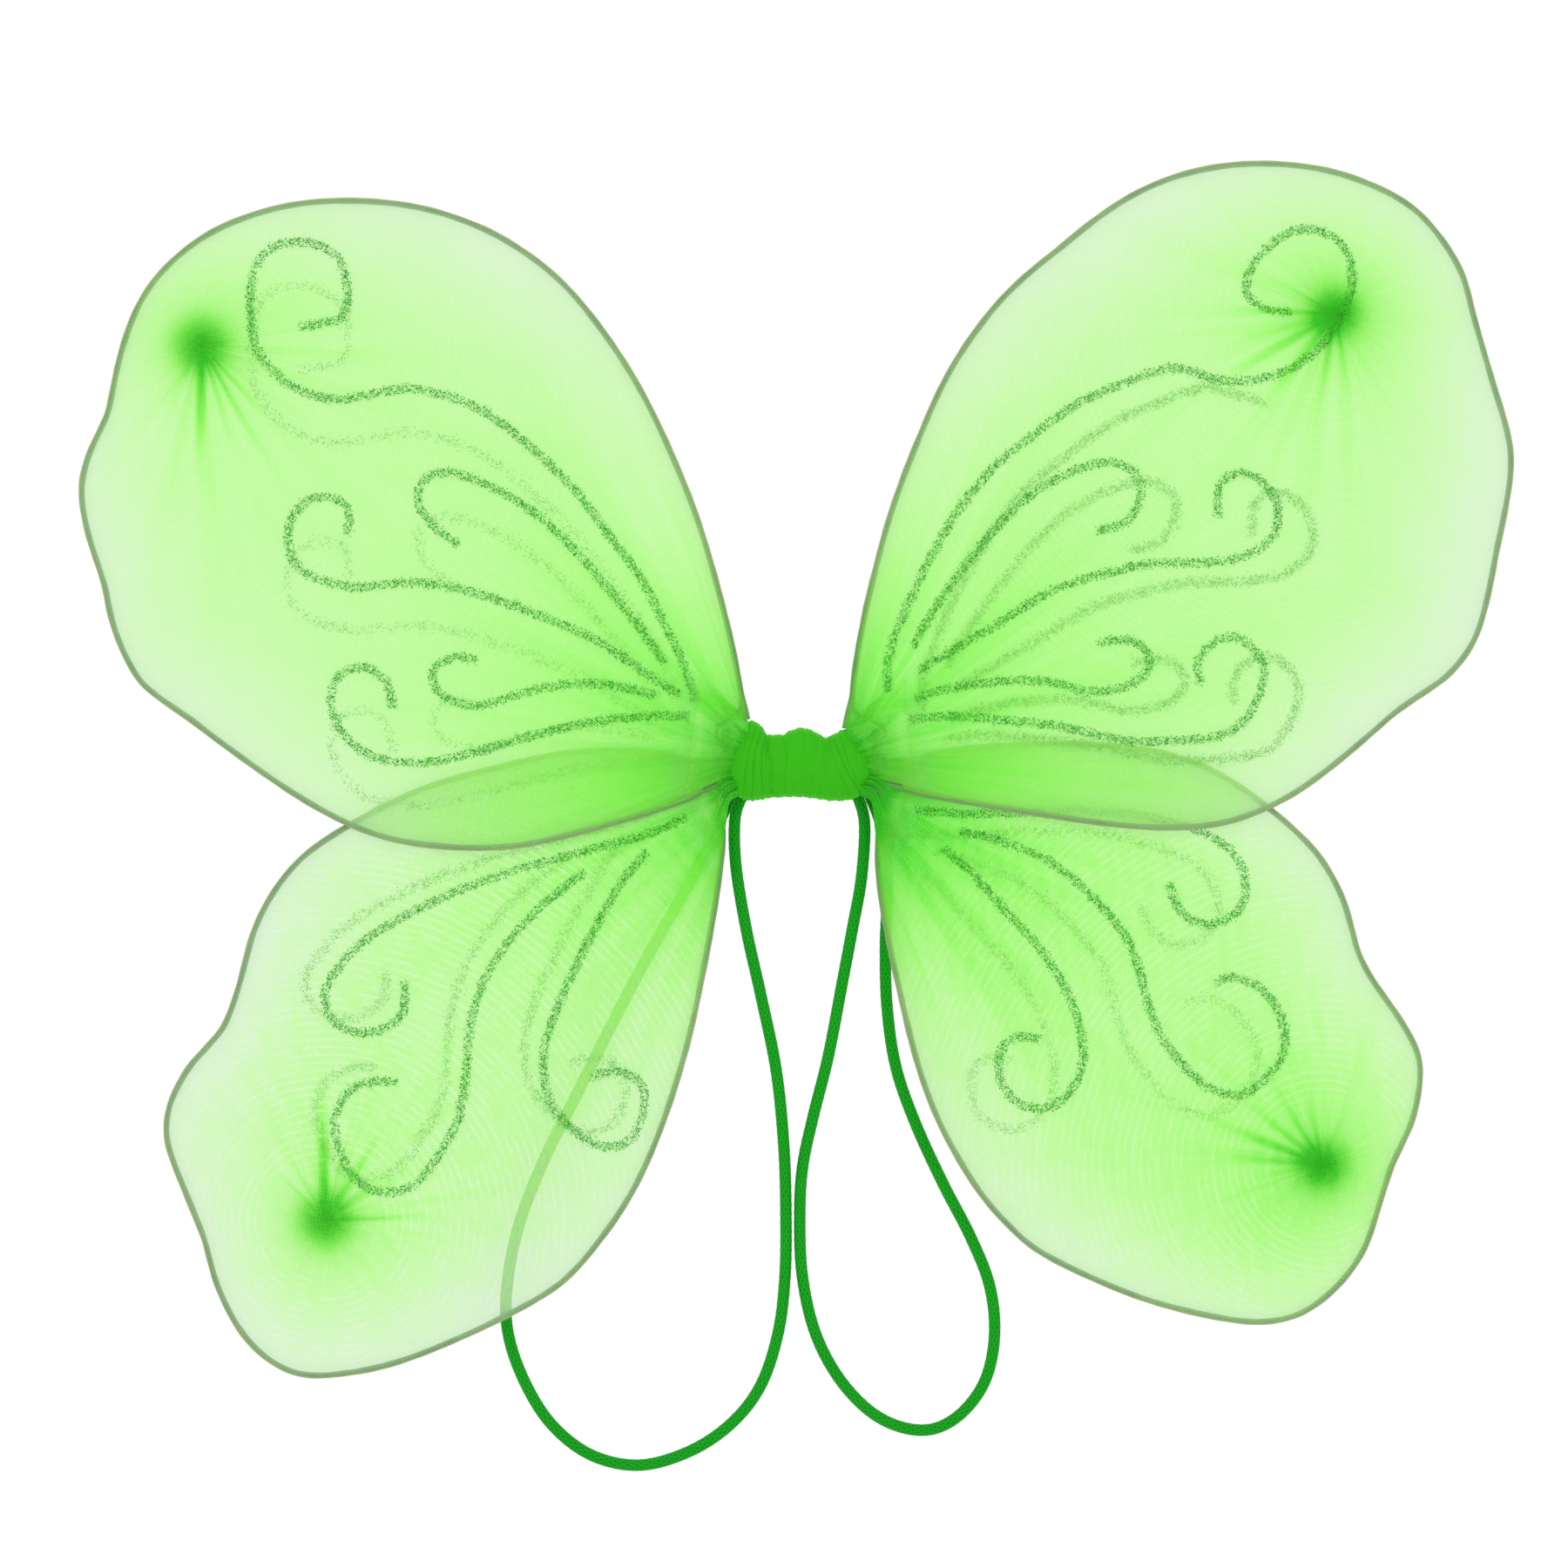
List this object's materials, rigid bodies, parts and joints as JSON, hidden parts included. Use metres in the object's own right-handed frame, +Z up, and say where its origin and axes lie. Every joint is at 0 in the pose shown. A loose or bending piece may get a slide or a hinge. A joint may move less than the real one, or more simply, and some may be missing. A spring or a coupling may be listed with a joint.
{
  "type": "fairy wings",
  "caption": "Dress-up fairy wings: wire frames covered with sheer nylon and glitter swirls, on a wrapped hub with elastic arm loops; the wings fold at the hub.",
  "frame": {"origin": "the hub's rear centre, where it lies on the wearer's back", "axes": "+X to the right seen from behind the wearer, +Y into the wearer's back, +Z up"},
  "size_m": [0.4117, 0.0212, 0.3764],
  "materials": {
    "wire": "drawn",
    "nylon": "sheer knit",
    "nylon_gather": "gathered knit",
    "thread": "twisted",
    "glitter": "sparkle",
    "tape": "cloth tape",
    "wrap": "stretch knit",
    "elastic": "braided"
  },
  "bodies": {
    "hub": {"core_wire": "wire", "binding_tape": "tape", "hub_wrap_left": "wrap", "hub_wrap_centre": "wrap", "hub_wrap_right": "wrap", "elastic_left": "elastic", "elastic_right": "elastic", "elastic_knot_left": "elastic", "elastic_knot_right": "elastic"},
    "upper_left_wing": {"upper_left_frame": "wire", "upper_left_sleeve": "nylon", "upper_left_tuft": "nylon_gather", "upper_left_tie": "thread", "upper_left_glitter": "glitter"},
    "upper_right_wing": {"upper_right_frame": "wire", "upper_right_sleeve": "nylon", "upper_right_tuft": "nylon_gather", "upper_right_tie": "thread", "upper_right_glitter": "glitter"},
    "lower_left_wing": {"lower_left_frame": "wire", "lower_left_sleeve": "nylon", "lower_left_tuft": "nylon_gather", "lower_left_tie": "thread", "lower_left_glitter": "glitter"},
    "lower_right_wing": {"lower_right_frame": "wire", "lower_right_sleeve": "nylon", "lower_right_tuft": "nylon_gather", "lower_right_tie": "thread", "lower_right_glitter": "glitter"}
  },
  "joints": [
    {"name": "left_fold", "type": "hinge", "parent": "hub", "child": "lower_left_wing", "pos_m": [-0.0215, -0.0105, 0], "axis": [0, 0, 1], "range_deg": [-5, 75]},
    {"name": "left_upper_lift", "type": "hinge", "parent": "lower_left_wing", "child": "upper_left_wing", "pos_m": [-0.0215, -0.0105, 0], "axis": [0, 0, 1], "range_deg": [0, 15]},
    {"name": "right_fold", "type": "hinge", "parent": "hub", "child": "lower_right_wing", "pos_m": [0.0215, -0.0105, 0], "axis": [0, 0, -1], "range_deg": [-5, 75]},
    {"name": "right_upper_lift", "type": "hinge", "parent": "lower_right_wing", "child": "upper_right_wing", "pos_m": [0.0215, -0.0105, 0], "axis": [0, 0, -1], "range_deg": [0, 15]}
  ]
}
